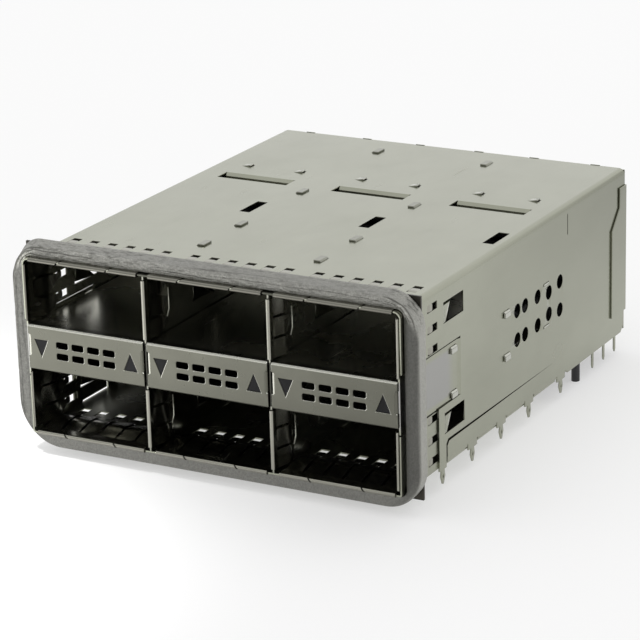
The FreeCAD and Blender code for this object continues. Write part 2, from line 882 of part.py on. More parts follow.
def divider_clip(x, floor):
    """Clip folded over a divider's front edge, with a row of fingers on each side."""
    base = clip_gap + spring_sheet / 2
    half = sheet / 2 + base
    front = spring_sheet / 2
    path = eased([(x - half, clip_root), (x - half, front, clip_fold), (x + half, front, clip_fold),
                  (x + half, clip_root)])
    low = floor + strip_margin
    high = floor + port_height - strip_margin
    pieces = [blank(ribbon(path, spring_sheet), "z", low, high)]
    middle = floor + port_height / 2
    rest = spring_sheet / 2 + seam
    steps = [(clip_root, base), (clip_peak, base + finger_bow), (clip_tip, rest)]
    for way in (-1, 1):
        for shift in side_finger_shifts:
            pieces.append(finger("z", x + way * sheet / 2, way, middle + shift, steps))
    return joined(pieces)


def rear_cover():
    """Back sheet with tabs in the roof's notches and side flanges that lap the walls."""
    front = depth + rear_gap
    turn = small_bend + sheet
    flange_in = wall_out + seam
    half = flange_in + sheet - turn
    top = roof_in - seam
    points = [(-half, cover_low), (half, cover_low), (half, top)]
    for centre in column_centres[::-1]:
        for x in (centre + rear_tab_shift, centre - rear_tab_shift):
            right = x + rear_tab_width / 2
            left = x - rear_tab_width / 2
            points += [(right, top), (right, roof_out), (left, roof_out), (left, top)]
    points.append((-half, top))
    pieces = [blank(points, "y", front, front + sheet)]
    back = front + sheet - turn
    flange = [(back, flange_low), (back, flange_high), (back - flange_short_lap, flange_high),
              (back - flange_short_lap, flange_step_high), (back - flange_lap, flange_step_low),
              (back - flange_lap, flange_low)]
    for side in (-1, 1):
        middle = side * (flange_in + sheet / 2)
        path = eased([(side * half, front + sheet / 2), (middle, front + sheet / 2, small_bend),
                      (middle, back)])
        pieces.append(blank(ribbon(path, sheet), "z", flange_low, flange_high))
        pieces.append(blank(flange, "x", side * flange_in, side * (flange_in + sheet)))
    return joined(pieces)


def gasket_plate():
    """Square-cornered plate round the cage, held by tabs that lie on the roof and floor."""
    front = gasket_front + gasket_depth
    side = wall_out + plate_gap
    low = board_gap - plate_gap
    high = roof_out + plate_gap
    half = wall_out + plate_side
    frame = rectangle(-half, half, board_gap - plate_rise, roof_out + plate_rise)
    plate = blank(frame, "y", front, front + plate_sheet, [rectangle(-side, side, low, high)])
    tabs = []
    for centre in column_centres:
        for edge, way in ((high, 1), (low, -1)):
            tabs.append(block(centre - plate_tab_width / 2, centre + plate_tab_width / 2, front + plate_sheet,
                              front + plate_sheet + plate_tab_length, edge, edge + way * sheet))
    return joined([plate] + tabs)


def gasket():
    """Soft ring with round corners, a bevelled front edge and sides that draw in to the rear."""
    rear = gasket_front + gasket_depth
    levels = [(gasket_front, gasket_edge), (gasket_front + gasket_edge, 0), (rear, gasket_taper)]
    wires = []
    for y, inset in levels:
        half = wall_out + gasket_side - inset
        low = board_gap - gasket_rise + inset
        high = roof_out + gasket_rise - inset
        wires.append(outline(rectangle(-half, half, low, high, gasket_corner - inset), "y", y))
    ring = Part.makeLoft(wires, True, True)
    side = wall_out + gasket_rim_gap
    inner = clipped(-side, side, board_gap - gasket_rim_gap, roof_out + gasket_rim_gap, gasket_inner_cut)
    return ring.cut(blank(inner, "y", gasket_front - gasket_depth, rear + gasket_depth))


def all_parts():
    """Every piece of the cage by name."""
    parts = {"cage_shell": cage_shell(), "bottom_plate": bottom_plate(), "rear_cover": rear_cover(),
             "gasket_plate": gasket_plate(), "gasket": gasket()}
    for i, centre in enumerate(column_centres):
        name = str(i + 1)
        parts["separator_" + name] = separator(i)
        parts["light_pipe_" + name + "_down"] = light_pipe(centre - arrow_shift, -1)
        parts["light_pipe_" + name + "_up"] = light_pipe(centre + arrow_shift, 1)
        parts["connector_" + name] = connector(centre)
        parts["contacts_" + name] = contacts(centre)
        parts["spring_top_" + name] = rim_strip(centre, roof_in, -1, roof_out)
        parts["spring_bottom_" + name] = rim_strip(centre, plate_top, 1, board_gap)
    for level, floor in zip(("lower", "upper"), port_floors):
        faces = (cheek_in, cheek_out) if level == "lower" else (wall_in, wall_out)
        drop = cheek_finger_drop if level == "lower" else 0
        parts["spring_left_" + level] = side_strip(-1, *faces, floor, drop)
        parts["spring_right_" + level] = side_strip(1, *faces, floor, drop)
        for i, x in enumerate(divider_places):
            parts["spring_divider_" + str(i + 1) + "_" + level] = divider_clip(x, floor)
    for i, x in enumerate(divider_places):
        parts["divider_" + str(i + 1)] = divider(x)
    return parts


os.makedirs("parts", exist_ok=True)
for node, shape in all_parts().items():
    shape.translate(V(0, -seat_y, 0))
    shape.exportStep("parts/" + node + ".step")
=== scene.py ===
import json
import math
import bmesh
import bpy
from mathutils import Matrix, Vector
from mathutils import noise as field


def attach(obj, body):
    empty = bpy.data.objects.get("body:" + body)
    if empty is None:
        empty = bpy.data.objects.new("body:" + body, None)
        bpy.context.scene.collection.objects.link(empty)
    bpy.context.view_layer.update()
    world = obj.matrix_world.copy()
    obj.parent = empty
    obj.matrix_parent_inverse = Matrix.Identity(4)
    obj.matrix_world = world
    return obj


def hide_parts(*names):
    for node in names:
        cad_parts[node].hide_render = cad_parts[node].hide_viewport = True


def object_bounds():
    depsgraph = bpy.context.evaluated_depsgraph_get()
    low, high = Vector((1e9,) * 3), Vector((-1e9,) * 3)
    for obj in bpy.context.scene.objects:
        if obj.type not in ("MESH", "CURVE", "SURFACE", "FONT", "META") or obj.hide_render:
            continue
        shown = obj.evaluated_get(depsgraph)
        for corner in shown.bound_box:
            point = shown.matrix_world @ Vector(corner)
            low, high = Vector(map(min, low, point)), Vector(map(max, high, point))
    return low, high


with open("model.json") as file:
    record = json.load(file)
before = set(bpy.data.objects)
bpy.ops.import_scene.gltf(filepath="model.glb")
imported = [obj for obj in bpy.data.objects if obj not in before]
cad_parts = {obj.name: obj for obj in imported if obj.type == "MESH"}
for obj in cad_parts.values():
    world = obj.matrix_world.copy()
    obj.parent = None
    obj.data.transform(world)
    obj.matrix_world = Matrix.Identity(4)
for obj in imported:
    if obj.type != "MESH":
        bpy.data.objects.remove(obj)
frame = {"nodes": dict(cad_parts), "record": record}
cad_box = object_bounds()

MM = 0.001
nodes = frame["nodes"]
scene = bpy.context.scene

# Sizes in mm, in the part's own frame
front_rim = -61.05
column_centres = (-20.0, 0.0, 20.0)
divider_places = (-10.0, 10.0)
roof_in = 26.52
roof_out = 26.77
plate_top = 0.5
plate_under = 0.25
port_floors = {"lower": 0.77, "upper": 16.91}
port_height = 9.34
wall_in = 30.0
wall_out = 30.25
cheek_in = 29.73
sheet = 0.25
web_low = 10.11
web_high = 16.91

# Spring strips in mm, with lengths that run back from the front rim
strip_sheet = 0.12
strip_half = 9.025
strip_cut = 4.15
lip_gap = 0.02
leg_gap = 0.15
outer_leg_start = 1.2
inner_leg_start = 1.0
rim_bend_steps = 14
cut_lean = 0.5
cut_gap = 0.19
cut_gap_loss = 0.08
leg_cut_gap = 0.012
side_end_gap = 0.35
hem_radius = 0.12
hem_gap = 0.05
hem_reach = 0.3
hem_lift = 0.22
hem_outer_start = 1.0
hem_leg_start = 1.2
hem_bend_steps = 12
cheek_drop = 0.2
clip_gap = 0.08
clip_root = 1.0
clip_peak = 3.6
clip_neck = 5.7
clip_neck_height = 0.13
clip_tip = 6.3
clip_tip_half = 0.34
clip_bend_steps = 16

# Spring fingers in mm. Each kind has the end of its neck, the place where its sides stop narrowing, its tip,
# the length of its fall into the hole, the tip's depth in the hole and the tip's half width.
finger_pitch = 3.05
finger_half = 1.325
finger_root = 1.9
finger_peak = 5.0
finger_bow = 0.6
root_slope = 0.1
neck_height = 0.15
neck_slope = -0.2
dip_ease = 0.03
tip_round = 0.28
curve_steps = 8
rim_finger = {"neck": 8.3, "narrowed": 8.35, "tip": 10.35, "fall": 0.8, "dip": -0.17, "half": 0.67}
side_finger = {"neck": 8.45, "narrowed": 8.1, "tip": 9.85, "fall": 0.5, "dip": -0.13, "half": 0.52}

# Bent ends of the separators' fronts, in mm
web_middle = (web_low + web_high) / 2
separator_half = 9.7
tab_inner = 0.42
tab_low = 1.15
tab_high = 1.95
tab_bend = 0.30
tab_flat = 0.02
tab_end = 2.2
tab_bend_steps = 8

# Outer faces of the latch tabs, in mm
latch_start = 13.1
latch_below = 0.3
latch_above = 2.23
latch_short = 1.3
latch_growth = 2.7
latch_sink = 0.012
latch_sheet = 0.03
latch_slope = 0.03
latch_bend = 0.36
crease_share = 0.55
crease_soft = 0.16
latch_rows = 14
latch_columns = 24
# Painted highlight on the crease: its level, and its width as a share of the soft bend
shine_level = 0.9
shine_width = 1.6

# Gasket in mm: left, right, bottom and top of each loop, and its corner radii from the upper left, clockwise
gasket_inner = (-30.34, 30.34, 0.08, 26.87, (1.15, 1.15, 1.0, 1.0))
gasket_edge = (-32.52, 32.55, -1.85, 28.5, (5.6, 6.0, 5.5, 6.8))
gasket_rear = (-32.48, 32.35, -1.85, 28.86, (3.6, 4.9, 5.4, 6.5))
gasket_side_steps = (130, 50, 130, 50)
gasket_corner_steps = 26
gasket_front = 1.0
gasket_back = 3.58
gasket_lining = 1.2
gasket_tuck = 0.5
gasket_swell = 0.06
inner_round = 0.14
outer_round = 0.42
rear_round = 0.3
inner_round_steps = 6
front_steps = 40
outer_round_steps = 10
flank_steps = 12
rear_round_steps = 5

# Long creases of the cloth: place across the ring, depth in mm and width
long_creases = ((0.34, 0.08, 0.050), (0.62, 0.09, 0.045), (0.90, 0.09, 0.055))
# Wrinkles of the cloth: rate along the ring, rate across it, depth in mm and seed
wrinkles = ((0.17, 1.5, 0.09, 0.0), (0.30, 2.2, 0.07, 9.0), (0.6, 3.0, 0.05, 17.0))
# Roughness of the cloth on the upper, left, right and lower side, and its tone there, which is painted light
# and shade
side_rough = (0.75, 0.42, 0.03, 0.03)
side_painted_light = (1.31, 0.80, 0.44, 0.80)

# Joined points, bevels of plain and folded sheet in mm, and the angle in degrees past which an edge has one
weld_distance = 0.002
plain_bevel = 0.035
fold_bevel = 0.08
bevel_angle = 35
# Angles in degrees past which the added pieces are sharp
strip_crease = 40
latch_crease = 60
cloth_crease = 80

# Dark and light tone of each metal
sheet_tones = ((0.330, 0.338, 0.272), (0.362, 0.370, 0.300))
# The separators' tones are darker than the sheet's; this also paints in the shade on their front faces
separator_tones = ((0.126, 0.126, 0.104), (0.146, 0.146, 0.121))
divider_tones = ((0.27, 0.272, 0.230), (0.31, 0.312, 0.265))
# Lighter copy of the separator tones for the left bent tabs: painted light
tab_painted_light_tones = ((0.52, 0.52, 0.46), (0.62, 0.62, 0.55))
spring_tones = ((0.310, 0.305, 0.262), (0.355, 0.349, 0.302))
# The plate's very dark tone also paints in the shade that falls on it
plate_tones = ((0.045, 0.042, 0.036), (0.070, 0.065, 0.056))
tail_tones = ((0.46, 0.42, 0.32), (0.54, 0.50, 0.40))

# Tones of single marks on the metals
grain_tone = (0.55, 0.55, 0.52, 1)
# Painted highlight for the tops of lugs and tabs and for the separators' front bends
painted_highlight = (0.50, 0.505, 0.455, 1)
cool_flap = (0.338, 0.330, 0.350, 1)
cut_edge = (0.035, 0.034, 0.028, 1)
# Painted light on the inner faces of the walls and the under faces of the roof
inner_painted_light = (0.58, 0.575, 0.49, 1)
# Painted shade on the outer faces of the walls, growing toward the rear and higher up
rear_painted_shade = (0.19, 0.195, 0.15, 1)
# Painted shade on the roof's front edge in the gaps between the strips
roof_gap_painted_shade = (0.03, 0.03, 0.025, 1)
# Painted light for the level faces of the separators inside the ports
web_painted_light = (0.52, 0.515, 0.44, 1)
# Painted highlight for the separators' bevelled edges
edge_painted_highlight = (0.80, 0.80, 0.72, 1)
divider_gap = (0.02, 0.02, 0.017, 1)
# Painted shade for the lips, hems and tips of the spring strips
lip_painted_shade = (0.060, 0.056, 0.045, 1)
# Painted shade for the inner face of the floor
floor_painted_shade = (0.10, 0.10, 0.085, 1)
# Painted highlight for the crease of the latch tabs
crease_painted_highlight = (0.95, 0.95, 0.90, 1)

# Stage: half width of the floor in m, its grey and its glow, and the range of the sky's strength
floor_reach = 3.0
floor_grey = 0.55
floor_glow = 0.46
sky_strength = (0.80, 1.32)
sky_bright_way = (-0.35, 0.80, 0.48)
# Spot lamp: power in W, cone in degrees, and its place and aim on the floor in m
pool_power = 20.0
pool_cone = 22
pool_place = (-0.10, -0.20, 0.45)
pool_aim = (-0.075, -0.115)
# Camera: place in mm, azimuth, elevation and roll in degrees, and focal length in mm
camera_place = (194.85, -379.25, 147.11)
camera_angles = (29.035, 18.67, -1.601)
camera_lens = 160.59


def new_material(name):
    """Node material with an output and a principled shader."""
    material = bpy.data.materials.new(name)
    material.use_nodes = True
    tree = material.node_tree
    tree.nodes.clear()
    out = tree.nodes.new("ShaderNodeOutputMaterial")
    shader = tree.nodes.new("ShaderNodeBsdfPrincipled")
    tree.links.new(shader.outputs["BSDF"], out.inputs["Surface"])
    return material, tree, shader


def node(tree, kind, **values):
    """New node with its sockets or properties set by name."""
    made = tree.nodes.new(kind)
    for key, value in values.items():
        if key in made.inputs:
            made.inputs[key].default_value = value
        else:
            setattr(made, key, value)
    return made


def feed(tree, value, socket):
    """Links a socket to another one, or sets a plain value on it."""
    if hasattr(value, "is_linked"):
        tree.links.new(value, socket)
    else:
        socket.default_value = value


def ramp(tree, source, low, dark, high, light):
    """Colour that runs from dark to light while a socket runs from low to high."""
    made = tree.nodes.new("ShaderNodeValToRGB")
    tree.links.new(source, made.inputs["Fac"])
    for element, place, colour in zip(made.color_ramp.elements, (low, high), (dark, light)):
        element.position = place
        element.color = (*colour, 1.0)
    return made.outputs["Color"]


def spread(tree, source, from_low, from_high, low, high):
    """A socket moved from one range of values to another, held at the ends."""
    made = node(tree, "ShaderNodeMapRange")
    tree.links.new(source, made.inputs["Value"])
    made.inputs["From Min"].default_value = from_low
    made.inputs["From Max"].default_value = from_high
    made.inputs["To Min"].default_value = low
    made.inputs["To Max"].default_value = high
    return made.outputs["Result"]


def object_coords(tree, scale):
    """Object coordinates, stretched by a scale for each axis."""
    coords = node(tree, "ShaderNodeTexCoord")
    mapping = node(tree, "ShaderNodeMapping")
    mapping.inputs["Scale"].default_value = scale
    tree.links.new(coords.outputs["Object"], mapping.inputs["Vector"])
    return mapping.outputs["Vector"]


def noise(tree, stretch, scale, detail, rough):
    """Noise value on stretched object coordinates."""
    made = node(tree, "ShaderNodeTexNoise", Scale=scale, Detail=detail, Roughness=rough)
    tree.links.new(object_coords(tree, stretch), made.inputs["Vector"])
    return made.outputs["Fac"]


def bump(tree, height, strength, distance):
    """Bump normal from a height socket."""
    made = node(tree, "ShaderNodeBump", Strength=strength, Distance=distance)
    tree.links.new(height, made.inputs["Height"])
    return made.outputs["Normal"]


def mixed(tree, kind, factor, first, second):
    """Two colour sockets or plain colours mixed by a factor socket or number."""
    made = node(tree, "ShaderNodeMix", data_type="RGBA", blend_type=kind)
    for place, value in ((0, factor), (6, first), (7, second)):
        feed(tree, value, made.inputs[place])
    return made.outputs[2]


def combined(tree, kind, first, second):
    """Arithmetic on two sockets or numbers."""
    made = node(tree, "ShaderNodeMath", operation=kind)
    for place, value in enumerate((first, second)):
        feed(tree, value, made.inputs[place])
    return made.outputs[0]


def product(tree, first, *others):
    """Sockets or numbers multiplied together."""
    for other in others:
        first = combined(tree, "MULTIPLY", first, other)
    return first


def larger(tree, first, second):
    """The larger of two sockets."""
    return combined(tree, "MAXIMUM", first, second)


def magnitude(tree, source):
    """A socket without its sign."""
    return combined(tree, "ABSOLUTE", source, 0.0)


def rising(tree, source, low, high, top=1.0):
    """Mask from 0 to its top while a socket runs between two values in mm."""
    return spread(tree, source, low * MM, high * MM, 0.0, top)


def falling(tree, source, low, high, top=1.0):
    """Mask from its top to 0 while a socket runs between two values in mm."""
    return spread(tree, source, low * MM, high * MM, top, 0.0)


def inside(tree, source, low, high, soft):
    """Mask that is 1 where a socket lies between two values in mm, with soft ends in mm."""
    return product(tree, rising(tree, source, low - soft, low), falling(tree, source, high, high + soft))


def split(tree, vector):
    """The three parts of a vector socket."""
    made = node(tree, "ShaderNodeSeparateXYZ")
    tree.links.new(vector, made.inputs["Vector"])
    return made.outputs["X"], made.outputs["Y"], made.outputs["Z"]


def position(tree):
    """Object coordinates as three sockets."""
    return split(tree, node(tree, "ShaderNodeTexCoord").outputs["Object"])


def facing(tree):
    """Way that the flat face looks, as three sockets."""
    return split(tree, node(tree, "ShaderNodeNewGeometry").outputs["True Normal"])


def attribute(tree, name):
    """Node that reads a value kept at the points of the mesh."""
    return node(tree, "ShaderNodeAttribute", attribute_name=name)


def sheet_metal(name, tones, smooth, dull, tint=None):
    """Plated sheet: mottled plating, rolling grain along Y, handling smudges and hairline scratches."""
    material, tree, shader = new_material(name)
    shader.inputs["Metallic"].default_value = 1.0
    mottle = noise(tree, (1, 0.6, 1), scale=110, detail=4, rough=0.6)
    smudge = noise(tree, (1, 1, 1), scale=42, detail=5, rough=0.62)
    grain = noise(tree, (1, 0.03, 1), scale=7000, detail=3, rough=0.6)
    hair = noise(tree, (1, 0.06, 0.4), scale=1500, detail=1, rough=0.4)
    scratch = spread(tree, hair, 0.74, 0.80, 0.0, 1.0)
    colour = ramp(tree, mottle, 0.3, tones[0], 0.7, tones[1])
    colour = mixed(tree, "MULTIPLY", spread(tree, grain, 0.25, 0.75, 0.0, 0.12), colour, grain_tone)
    if tint:
        colour = tint(tree, colour)
    tree.links.new(colour, shader.inputs["Base Color"])
    gloss = spread(tree, smudge, 0.3, 0.72, smooth, dull)
    gloss = combined(tree, "ADD", gloss, spread(tree, scratch, 0.0, 1.0, 0.0, 0.12))
    tree.links.new(gloss, shader.inputs["Roughness"])
    height = combined(tree, "SUBTRACT", grain, scratch)
    tree.links.new(bump(tree, height, 0.3, 0.003 * MM), shader.inputs["Normal"])
    return material


def shell_marks(tree, colour):
    """Marks of the shell: cool flaps, cut edges, painted light on the inner faces, painted shade high on the
    rear walls and in the roof gaps, painted highlights on the lugs.
    """
    signed_x, y, z = position(tree)
    facing_x, _, facing_z = facing(tree)
    x = magnitude(tree, signed_x)

    flap = product(tree, inside(tree, x, wall_in - 0.3, wall_out + 0.02, 0.02),
                   inside(tree, z, 10.3, 16.5, 0.5), inside(tree, y, -62.0, -46.5, 2.0))
    colour = mixed(tree, "MIX", product(tree, flap, 0.6), colour, cool_flap)

    not_up = spread(tree, magnitude(tree, facing_z), 0.3, 0.5, 1.0, 0.0)
    not_across = spread(tree, magnitude(tree, facing_x), 0.3, 0.5, 1.0, 0.0)
    roof_cut = product(tree, inside(tree, z, roof_in - 0.02, roof_out - 0.03, 0.01), not_up,
                       inside(tree, x, -1.0, 29.2, 0.05))
    wall_cut = product(tree, inside(tree, x, wall_in - 0.02, wall_out - 0.03, 0.01), not_across,
                       inside(tree, z, 1.5, 25.5, 0.2))
    cut = product(tree, larger(tree, roof_cut, wall_cut), rising(tree, y, -60.0, -59.5))
    colour = mixed(tree, "MIX", product(tree, cut, 0.85), colour, cut_edge)

    outward = product(tree, facing_x, combined(tree, "SIGN", signed_x, 0.0))
    # Painted light on the inner faces of the walls and the under faces of the roof
    inner = larger(tree, spread(tree, outward, -0.8, -0.6, 1.0, 0.0),
                   spread(tree, facing_z, -0.8, -0.6, 1.0, 0.0))
    colour = mixed(tree, "MIX", product(tree, inner, 0.7), colour, inner_painted_light)
    # Painted shade on the outer faces of the walls, growing toward the rear and higher up
    rear = product(tree, spread(tree, outward, 0.6, 0.8, 0.0, 1.0), rising(tree, y, -45.0, 16.0, 0.55),
                   spread(tree, z, 3.0 * MM, 24.0 * MM, 0.1, 1.45))
    colour = mixed(tree, "MIX", rear, colour, rear_painted_shade)

    # Painted shade on the roof's front edge in the gaps between the strips, above the dividers
    between = product(tree, inside(tree, x, divider_places[1] - 1.1, divider_places[1] + 1.1, 0.05),
                      inside(tree, z, roof_in - 0.12, roof_out + 0.13, 0.02),
                      inside(tree, y, front_rim - 1, front_rim + 1.2, 0.2))
    colour = mixed(tree, "MIX", product(tree, between, 0.85), colour, roof_gap_painted_shade)
    # Painted highlight on the tops of the roof's lugs and tabs
    lugs = rising(tree, z, roof_out + 0.03, roof_out + 0.07)
    return mixed(tree, "MIX", product(tree, lugs, 0.6), colour, painted_highlight)


def separator_marks(tree, colour):
    """Marks of the separators: painted light on the level faces inside the ports, painted highlights on the
    lugs and the front bends.
    """
    signed_x, y, z = position(tree)
    _, _, facing_z = facing(tree)
    # Painted light on the level faces of the separators inside the ports
    flat = product(tree, spread(tree, magnitude(tree, facing_z), 0.7, 0.8, 0.0, 0.8),
                   rising(tree, y, front_rim + 0.8, front_rim + 2))
    colour = mixed(tree, "MIX", flat, colour, web_painted_light)
    # Painted highlight on the flap lugs and on the front bends of the separators
    lugs = rising(tree, magnitude(tree, signed_x), 29.85, 29.95)
    upper = rising(tree, z, web_high - 0.22, web_high - 0.12, 0.75)
    lower = falling(tree, z, web_low + 0.05, web_low + 0.14, 0.6)
    bend = product(tree, larger(tree, upper, lower), falling(tree, y, front_rim + 0.35, front_rim + 0.5))
    return mixed(tree, "MIX", larger(tree, lugs, bend), colour, painted_highlight)


def worn_edge(tree, colour):
    """Painted highlight on the bevelled edges of the separators, where they face up or to the left."""
    facing_x, _, facing_z = facing(tree)
    lit = combined(tree, "SUBTRACT", facing_z, facing_x)
    return mixed(tree, "MIX", spread(tree, lit, 0.05, 0.35, 0.0, 0.9), colour, edge_painted_highlight)


def gap_shade(tree, colour):
    """Front edge of a divider between two separators, which lies in the shade of the gap."""
    _, y, z = position(tree)
    deep = product(tree, inside(tree, z, web_low + 0.3, web_high - 0.3, 0.2),
                   inside(tree, y, front_rim - 1, front_rim + 1.5, 0.5))
    return mixed(tree, "MIX", product(tree, deep, 0.9), colour, divider_gap)


def lip_shade(tree, colour):
    """Painted shade on the strips: darker on the upper lips, the left hems, the lower lips and the lower
    tips.
    """
    x, y, z = position(tree)
    edge = inside(tree, y, front_rim - 1, front_rim + 0.6, 0.2)
    hem = product(tree, falling(tree, x, -29.5, -29.3, 0.7), edge)
    upper = product(tree, inside(tree, z, 26.1, 27.0, 0.05),
                    inside(tree, y, front_rim - 1, front_rim + 1.0, 0.3),
                    spread(tree, z, 26.25 * MM, 26.68 * MM, 0.86, 0.42))
    tips = product(tree, inside(tree, z, -0.5, 1.4, 0.2),
                   inside(tree, y, front_rim + 5.6, front_rim + 11, 0.8), 0.9)
    lower = product(tree, falling(tree, z, 0.38, 0.55, 0.4), edge)
    # Painted shade wherever one of these masks is set
    dull = larger(tree, larger(tree, larger(tree, upper, tips), lower), hem)
    return mixed(tree, "MIX", dull, colour, lip_painted_shade)


def floor_shade(tree, colour):
    """Painted shade on the inner face of the floor, which makes it darker than the outer one."""
    _, _, facing_z = facing(tree)
    return mixed(tree, "MIX", spread(tree, facing_z, 0.6, 0.8, 0.0, 0.75), colour, floor_painted_shade)


def crease_shine(tree, colour):
    """Painted highlight on the crease of a latch tab."""
    return mixed(tree, "MIX", attribute(tree, "shine").outputs["Fac"], colour, crease_painted_highlight)


def connector_plastic():
    """Dark moulded plastic with a fine grain."""
    material, tree, shader = new_material("connector_plastic")
    fine = noise(tree, (1, 1, 1), scale=2500, detail=4, rough=0.6)
    colour = ramp(tree, fine, 0.3, (0.010, 0.010, 0.011), 0.7, (0.019, 0.019, 0.022))
    tree.links.new(colour, shader.inputs["Base Color"])
    tree.links.new(spread(tree, fine, 0.3, 0.7, 0.42, 0.6), shader.inputs["Roughness"])
    tree.links.new(bump(tree, fine, 0.3, 0.01 * MM), shader.inputs["Normal"])
    return material


def light_pipe():
    """Unlit, dark light pipe."""
    material, tree, shader = new_material("light_pipe")
    fine = noise(tree, (1, 1, 1), scale=900, detail=3, rough=0.5)
    colour = ramp(tree, fine, 0.3, (0.008, 0.008, 0.008), 0.7, (0.015, 0.015, 0.016))
    tree.links.new(colour, shader.inputs["Base Color"])
    tree.links.new(spread(tree, fine, 0.3, 0.7, 0.30, 0.45), shader.inputs["Roughness"])
    shader.inputs["Specular IOR Level"].default_value = 0.15
    return material


def gasket_fabric():
    """Plated woven cloth with painted shade in its folds and painted light and shade by side, speckled where
    it is crumpled.
    """
    material, tree, shader = new_material("gasket_fabric")
    shader.inputs["Metallic"].default_value = 0.85
    weave = noise(tree, (1, 1, 1), scale=5200, detail=2, rough=0.6)
    thread = noise(tree, (1, 1, 0.25), scale=2600, detail=2, rough=0.5)
    cloud = noise(tree, (1, 1, 1), scale=230, detail=4, rough=0.6)
    creased = noise(tree, (1, 1, 1.5), scale=1300, detail=3, rough=0.65)
    fold = attribute(tree, "fold").outputs["Fac"]
    tone = attribute(tree, "tone").outputs["Color"]
    crumple = attribute(tree, "crumple").outputs["Fac"]
    colour = ramp(tree, cloud, 0.3, (0.286, 0.284, 0.262), 0.7, (0.346, 0.344, 0.316))
    colour = mixed(tree, "MULTIPLY", spread(tree, weave, 0.3, 0.7, 0.0, 0.65), colour, (0.5, 0.5, 0.5, 1))
    # Painted shade in the folds
    colour = mixed(tree, "MULTIPLY", spread(tree, fold, 0.0, 1.0, 0.0, 0.85), colour, (0.22, 0.22, 0.21, 1))
    # Painted light and shade by side, from the tone kept at the points
    colour = mixed(tree, "MULTIPLY", 1.0, colour, tone)
    speck = product(tree, spread(tree, creased, 0.38, 0.60, 0.40, 0.0), crumple)
    colour = mixed(tree, "MULTIPLY", speck, colour, (0.38, 0.38, 0.37, 1))
    tree.links.new(colour, shader.inputs["Base Color"])
    tree.links.new(spread(tree, cloud, 0.3, 0.7, 0.42, 0.56), shader.inputs["Roughness"])
    threads = combined(tree, "ADD", weave, thread)
    height = combined(tree, "ADD", threads, product(tree, creased, crumple, 40.0))
    tree.links.new(bump(tree, height, 0.5, 0.02 * MM), shader.inputs["Normal"])
    return material


# Separator metal with painted highlights on the bevelled edges that face up or to the left
edge_look = sheet_metal("worn_edge", separator_tones, 0.18, 0.30, worn_edge)
# Lighter copy of the separator metal for the left bent tabs: painted light
tab_painted_light_look = sheet_metal("tab_painted_light_metal", tab_painted_light_tones, 0.18, 0.30)
divider_look = sheet_metal("divider_metal", divider_tones, 0.20, 0.32, gap_shade)
floor_look = sheet_metal("floor_metal", sheet_tones, 0.22, 0.36, floor_shade)
latch_look = sheet_metal("latch_metal", sheet_tones, 0.16, 0.28, crease_shine)
sheet_look = sheet_metal("sheet_metal", sheet_tones, 0.16, 0.28, shell_marks)
separator_look = sheet_metal("separator_metal", separator_tones, 0.20, 0.32, separator_marks)
spring_look = sheet_metal("spring_metal", spring_tones, 0.14, 0.24, lip_shade)
plate_look = sheet_metal("plate_metal", plate_tones, 0.30, 0.45)
tail_look = sheet_metal("contact_metal", tail_tones, 0.22, 0.34)
cloth_look = gasket_fabric()
looks = {"sheet_metal": sheet_look, "spring_metal": spring_look, "plate_metal": plate_look,
         "contact_metal": tail_look, "connector_plastic": connector_plastic(), "light_pipe": light_pipe(),
         "gasket_fabric": cloth_look}


def dress(name, slot):
    """Material, small bevel and even shading of one CAD node; a separator's bevel has a look of its own with
    painted highlights.
    """
    piece = nodes[name]
    folded = name.startswith("separator")
    look = looks[slot]
    if folded:
        look = separator_look
    elif name.startswith("divider"):
        look = divider_look
    elif name == "bottom_plate":
        look = floor_look
    piece.data.materials.clear()
    piece.data.materials.append(look)
    if folded:
        piece.data.materials.append(edge_look)
    piece.modifiers.new("weld", "WELD").merge_threshold = weld_distance * MM
    edge = piece.modifiers.new("edge", "BEVEL")
    edge.width = (fold_bevel if folded else plain_bevel) * MM
    edge.segments = 2 if folded else 1
    edge.limit_method = "ANGLE"
    edge.angle_limit = math.radians(bevel_angle)
    edge.material = 1 if folded else -1
    even = piece.modifiers.new("normals", "WEIGHTED_NORMAL")
    even.mode = "FACE_AREA"
    even.weight = 100


for entry in frame["record"]["subparts"]:
    dress(entry["node"], entry["material_slot"])


def add_piece(name, verts, faces, look, replaced, crease):
    """Mesh piece from points in mm that may take the place of a node; it is sharp past the crease angle."""
    mesh = bpy.data.meshes.new(name)
    mesh.from_pydata([Vector(v) * MM for v in verts], [], faces)
    made = bmesh.new()
    made.from_mesh(mesh)
    bmesh.ops.recalc_face_normals(made, faces=made.faces)
    made.to_mesh(mesh)
    made.free()
    mesh.shade_smooth()
    mesh.set_sharp_from_angle(angle=math.radians(crease))
    piece = bpy.data.objects.new(name, mesh)
    scene.collection.objects.link(piece)
    mesh.materials.append(look)
    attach(piece, "root")
    if replaced:
        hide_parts(replaced)
    return piece


def keep_values(piece, name, values):
    """Keeps one number for each point of a piece, for its material."""
    piece.data.attributes.new(name, "FLOAT", "POINT").data.foreach_set("value", values)


def smooth_step(low, high, value):
    """Smooth rise from 0 to 1 between two values."""
    t = min(max((value - low) / (high - low), 0.0), 1.0)
    return t * t * (3 - 2 * t)


def arc(centre, radius, start, end, steps):
    """Points on an arc between two angles in degrees."""
    points = []
    for step in range(steps + 1):
        angle = math.radians(start + (end - start) * step / steps)
        points.append((centre[0] + radius * math.cos(angle), centre[1] + radius * math.sin(angle)))
    return points


